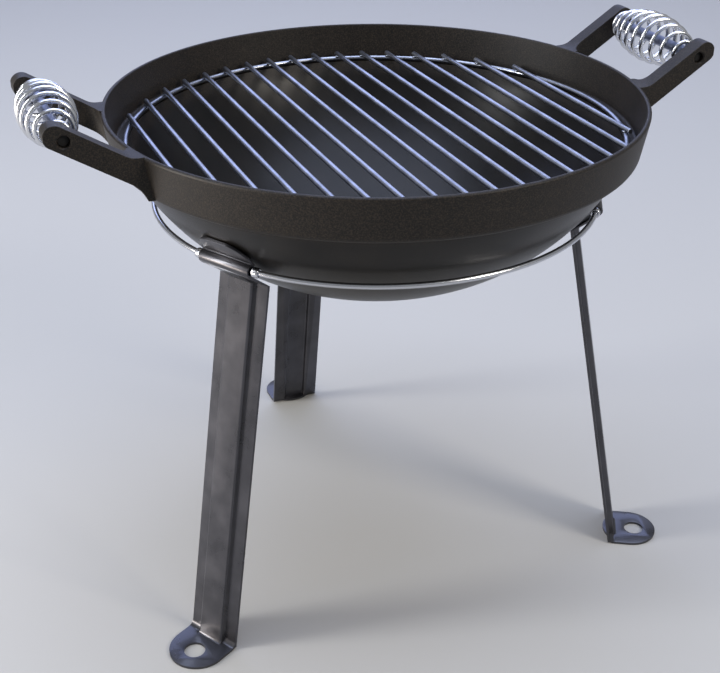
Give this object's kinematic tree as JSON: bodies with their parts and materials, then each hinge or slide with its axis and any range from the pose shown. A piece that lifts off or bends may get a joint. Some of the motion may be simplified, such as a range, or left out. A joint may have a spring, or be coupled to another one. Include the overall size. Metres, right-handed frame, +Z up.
{
  "type": "charcoal fire bowl",
  "caption": "Round cast-iron fire bowl with a bar grate and two coil-grip handles, seated in a ring stand with hinged splayed legs.",
  "frame": {"origin": "on the floor, on the upright axis through the middle of the bowl, the ring and the circle of foot holes", "axes": "+Z up; the two coil-grip handles lie on +X and -X; the grate bars run along Y; one leg points to +Y and the other two lie 120 degrees either side of it"},
  "size_m": [0.5175, 0.4429, 0.414],
  "materials": {
    "cast_iron_body": "as-cast iron, oil-seasoned, matt to satin",
    "handle_rod_steel": "plain drawn steel rod",
    "spring_wire": "nickel-plated spring wire, bright",
    "grate_steel": "satin drawn steel rod",
    "ring_steel": "bright nickel-plated steel rod",
    "leg_paint": "dark grey semi-gloss heat-resistant paint on pressed sheet steel"
  },
  "bodies": {
    "stand": {"support_ring": "ring_steel", "ring_collars_left": "ring_steel", "ring_collars_right": "ring_steel", "ring_collars_rear": "ring_steel"},
    "bowl": {"bowl": "cast_iron_body", "left_handle_rod": "handle_rod_steel", "right_handle_rod": "handle_rod_steel"},
    "grate": {"grate_ring": "grate_steel", "grate_bar_01": "grate_steel", "grate_bar_02": "grate_steel", "grate_bar_03": "grate_steel", "grate_bar_04": "grate_steel", "grate_bar_05": "grate_steel", "grate_bar_06": "grate_steel", "grate_bar_07": "grate_steel", "grate_bar_08": "grate_steel", "grate_bar_09": "grate_steel", "grate_bar_10": "grate_steel", "grate_bar_11": "grate_steel", "grate_bar_12": "grate_steel", "grate_bar_13": "grate_steel", "grate_bar_14": "grate_steel", "grate_bar_15": "grate_steel", "grate_bar_16": "grate_steel", "grate_bar_17": "grate_steel"},
    "left_grip": {"left_grip_coil": "spring_wire"},
    "right_grip": {"right_grip_coil": "spring_wire"},
    "left_leg": {"leg_left": "leg_paint"},
    "right_leg": {"leg_right": "leg_paint"},
    "rear_leg": {"leg_rear": "leg_paint"}
  },
  "joints": [
    {"name": "bowl_lift", "type": "slide", "parent": "stand", "child": "bowl", "axis": [0, 0, 1], "range_m": [0, 0.12]},
    {"name": "grate_lift", "type": "slide", "parent": "bowl", "child": "grate", "axis": [0, 0, 1], "range_m": [0, 0.08]},
    {"name": "left_grip_spin", "type": "hinge", "parent": "bowl", "child": "left_grip", "pos_m": [-0.239, 0, 0.39405], "axis": [0, 1, 0], "continuous": true},
    {"name": "right_grip_spin", "type": "hinge", "parent": "bowl", "child": "right_grip", "pos_m": [0.239, 0, 0.39405], "axis": [0, 1, 0], "continuous": true},
    {"name": "left_leg_fold", "type": "hinge", "parent": "stand", "child": "left_leg", "pos_m": [-0.14443, -0.08339, 0.3025], "axis": [0.5, -0.866, 0], "range_deg": [0, 10]},
    {"name": "right_leg_fold", "type": "hinge", "parent": "stand", "child": "right_leg", "pos_m": [0.14443, -0.08339, 0.3025], "axis": [0.5, 0.866, 0], "range_deg": [0, 10]},
    {"name": "rear_leg_fold", "type": "hinge", "parent": "stand", "child": "rear_leg", "pos_m": [0, 0.16677, 0.3025], "axis": [-1, 0, 0], "range_deg": [0, 10]}
  ]
}
